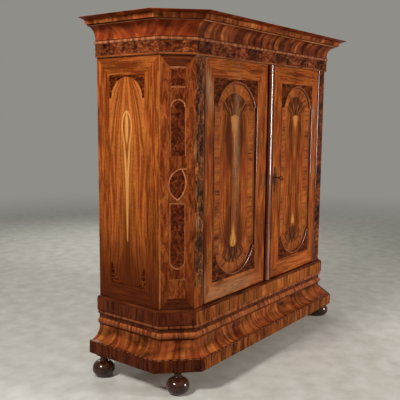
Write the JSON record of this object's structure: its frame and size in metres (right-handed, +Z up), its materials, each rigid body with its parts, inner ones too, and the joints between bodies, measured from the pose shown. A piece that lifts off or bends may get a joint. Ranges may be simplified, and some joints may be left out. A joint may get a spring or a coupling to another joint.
{
  "type": "cabinet",
  "caption": "Tall walnut cabinet with canted corners, hollow-moulded base on ball feet, projecting cornice, arched panel doors on pivots, lock with key, sliding bolts and shelves.",
  "frame": {"origin": "on the floor under the centre of the overall plan", "axes": "+X to the cabinet's right as seen from the front, -Y out of its front, +Z up"},
  "size_m": [2.006, 0.719, 2],
  "materials": {
    "walnut_veneer": "walnut and burl veneers, polished with shellac",
    "pine_carcass": "planed softwood, aged, unpolished",
    "stained_foot": "turned hardwood, stained dark and polished",
    "forged_iron": "forged, darkened by age"
  },
  "bodies": {
    "carcass": {"base_front": "walnut_veneer", "base_cant_left": "walnut_veneer", "base_cant_right": "walnut_veneer", "base_side_left": "walnut_veneer", "base_side_right": "walnut_veneer", "frieze_front": "walnut_veneer", "frieze_cant_left": "walnut_veneer", "frieze_cant_right": "walnut_veneer", "frieze_side_left": "walnut_veneer", "frieze_side_right": "walnut_veneer", "crown_front": "walnut_veneer", "crown_cant_left": "walnut_veneer", "crown_cant_right": "walnut_veneer", "crown_side_left": "walnut_veneer", "crown_side_right": "walnut_veneer", "foot_front_left": "stained_foot", "foot_front_right": "stained_foot", "foot_rear_left": "stained_foot", "foot_rear_right": "stained_foot", "base_rear_rail": "pine_carcass", "floor_ledgers": "pine_carcass", "floor_board": "pine_carcass", "side_panel_left": "walnut_veneer", "side_panel_right": "walnut_veneer", "corner_post_left": "walnut_veneer", "corner_post_right": "walnut_veneer", "front_stile_left": "walnut_veneer", "front_stile_right": "walnut_veneer", "back_boards": "pine_carcass", "shelf_lower": "pine_carcass", "shelf_middle": "pine_carcass", "shelf_upper": "pine_carcass", "shelf_bearers": "pine_carcass", "cornice_rear_rail": "pine_carcass", "top_board": "pine_carcass", "pivot_sockets": "forged_iron"},
    "left_door": {"left_door_hinge_stile": "walnut_veneer", "left_door_meeting_stile": "walnut_veneer", "left_door_bottom_rail": "walnut_veneer", "left_door_top_rail": "walnut_veneer", "left_door_panel": "walnut_veneer", "left_door_moulding": "walnut_veneer", "left_door_pivots": "forged_iron", "lock_keeper": "forged_iron", "bolt_guides": "forged_iron"},
    "right_door": {"right_door_hinge_stile": "walnut_veneer", "right_door_meeting_stile": "walnut_veneer", "right_door_bottom_rail": "walnut_veneer", "right_door_top_rail": "walnut_veneer", "right_door_panel": "walnut_veneer", "right_door_moulding": "walnut_veneer", "right_door_pivots": "forged_iron", "meeting_strip": "walnut_veneer", "right_escutcheon": "forged_iron", "lock_case": "forged_iron"},
    "top_bolt": {"top_bolt": "forged_iron"},
    "bottom_bolt": {"bottom_bolt": "forged_iron"},
    "lock_bolt": {"lock_bolt": "forged_iron"},
    "key": {"key": "forged_iron"}
  },
  "joints": [
    {"name": "left_door_hinge", "type": "hinge", "parent": "carcass", "child": "left_door", "pos_m": [-0.645, -0.2145, 0.452], "axis": [0, 0, -1], "range_deg": [0, 100]},
    {"name": "right_door_hinge", "type": "hinge", "parent": "carcass", "child": "right_door", "pos_m": [0.645, -0.2145, 0.452], "axis": [0, 0, 1], "range_deg": [0, 100]},
    {"name": "top_bolt_slide", "type": "slide", "parent": "left_door", "child": "top_bolt", "axis": [0, 0, 1], "range_m": [0, 0.025]},
    {"name": "bottom_bolt_slide", "type": "slide", "parent": "left_door", "child": "bottom_bolt", "axis": [0, 0, -1], "range_m": [0, 0.025]},
    {"name": "key_turn", "type": "hinge", "parent": "right_door", "child": "key", "pos_m": [0.091, -0.2245, 1.1], "axis": [0, -1, 0], "range_deg": [0, 360]},
    {"name": "lock_bolt_slide", "type": "slide", "parent": "right_door", "child": "lock_bolt", "axis": [-1, 0, 0], "range_m": [0, 0.02]}
  ],
  "couplings": [
    {"joint": "key_turn", "follows": "lock_bolt_slide", "rad_per_m": 314.16}
  ]
}
